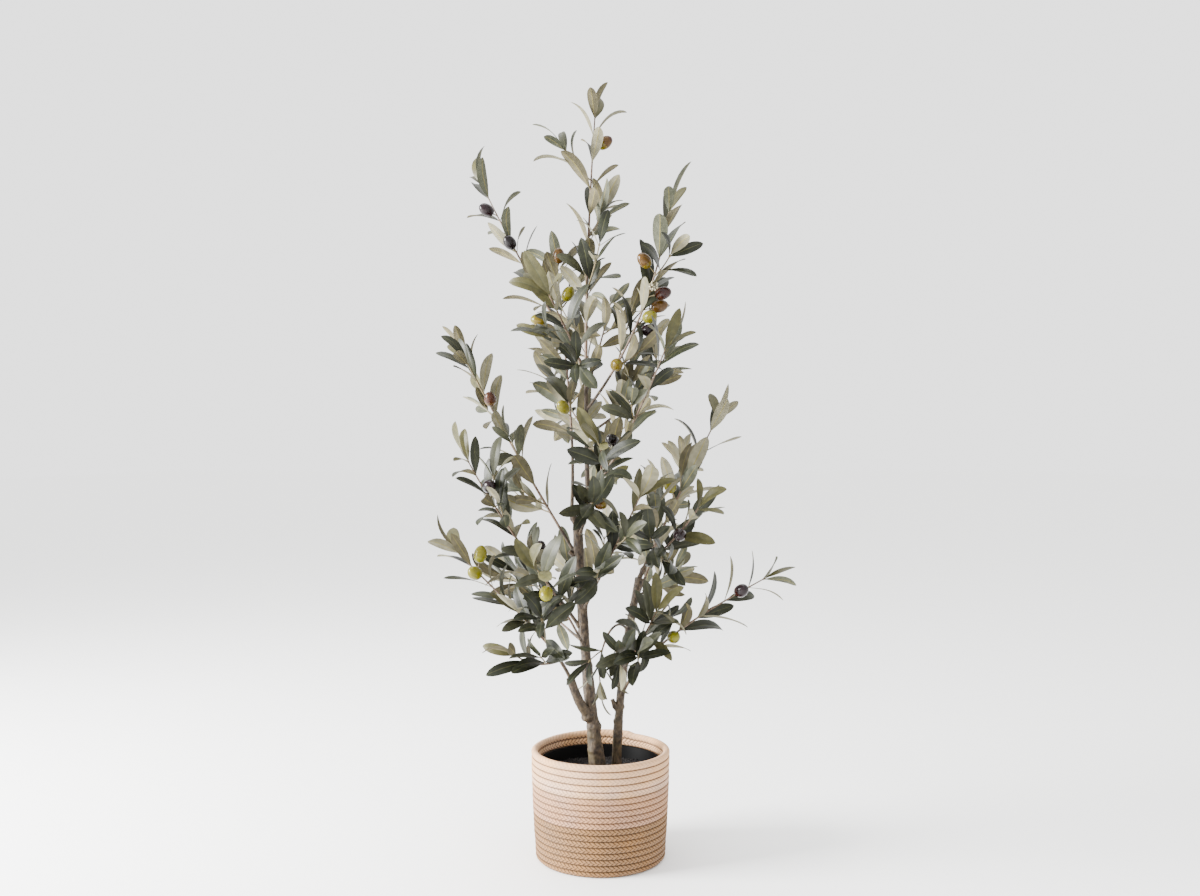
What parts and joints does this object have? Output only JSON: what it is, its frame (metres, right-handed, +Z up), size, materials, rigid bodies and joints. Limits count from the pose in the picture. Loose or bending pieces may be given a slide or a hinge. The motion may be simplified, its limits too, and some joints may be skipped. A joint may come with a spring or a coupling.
{
  "type": "artificial potted olive tree",
  "caption": "Slim artificial olive tree with narrow leaves and a few olives, on woody stems set in a black liner pot inside a round stitched rope basket.",
  "frame": {"origin": "middle of the basket's flat underside", "axes": "+Z up through the basket, +X to the right of the tree's front, +Y towards its back"},
  "size_m": [0.5604, 0.5674, 1.2076],
  "materials": {
    "rope": "matte",
    "liner": "satin",
    "fill": "matte",
    "bark": "matte",
    "leaves": "satin"
  },
  "bodies": {
    "root": {"rope_basket": "rope", "liner_pot": "liner", "potting_fill": "fill", "trunk": "bark", "second_stem": "bark", "left_stub": "bark", "leader": "bark", "upper_left": "bark", "upper_right": "bark", "inner_left": "bark", "left_mid": "bark", "left_low_mid": "bark", "left_low": "bark", "left_bottom": "bark", "right_low": "bark", "right_mid": "bark", "right_low_mid": "bark", "right_twig": "bark", "centre_right": "bark", "inner_right": "bark", "droop": "bark", "back_low": "bark", "back_left": "bark", "back_right": "bark", "back_mid": "bark", "front_low": "bark", "front_mid": "bark", "right_front": "bark", "right_upper": "bark", "back_top": "bark", "front_top": "bark", "leader_foliage": "leaves", "upper_left_foliage": "leaves", "upper_right_foliage": "leaves", "inner_left_foliage": "leaves", "left_mid_foliage": "leaves", "left_low_mid_foliage": "leaves", "left_low_foliage": "leaves", "left_bottom_foliage": "leaves", "right_low_foliage": "leaves", "right_mid_foliage": "leaves", "right_low_mid_foliage": "leaves", "right_twig_foliage": "leaves", "centre_right_foliage": "leaves", "inner_right_foliage": "leaves", "droop_foliage": "leaves", "right_front_foliage": "leaves", "right_upper_foliage": "leaves", "back_low_foliage": "leaves", "back_left_foliage": "leaves", "back_right_foliage": "leaves", "back_mid_foliage": "leaves", "front_low_foliage": "leaves", "front_mid_foliage": "leaves", "back_top_foliage": "leaves", "front_top_foliage": "leaves"}
  },
  "joints": []
}
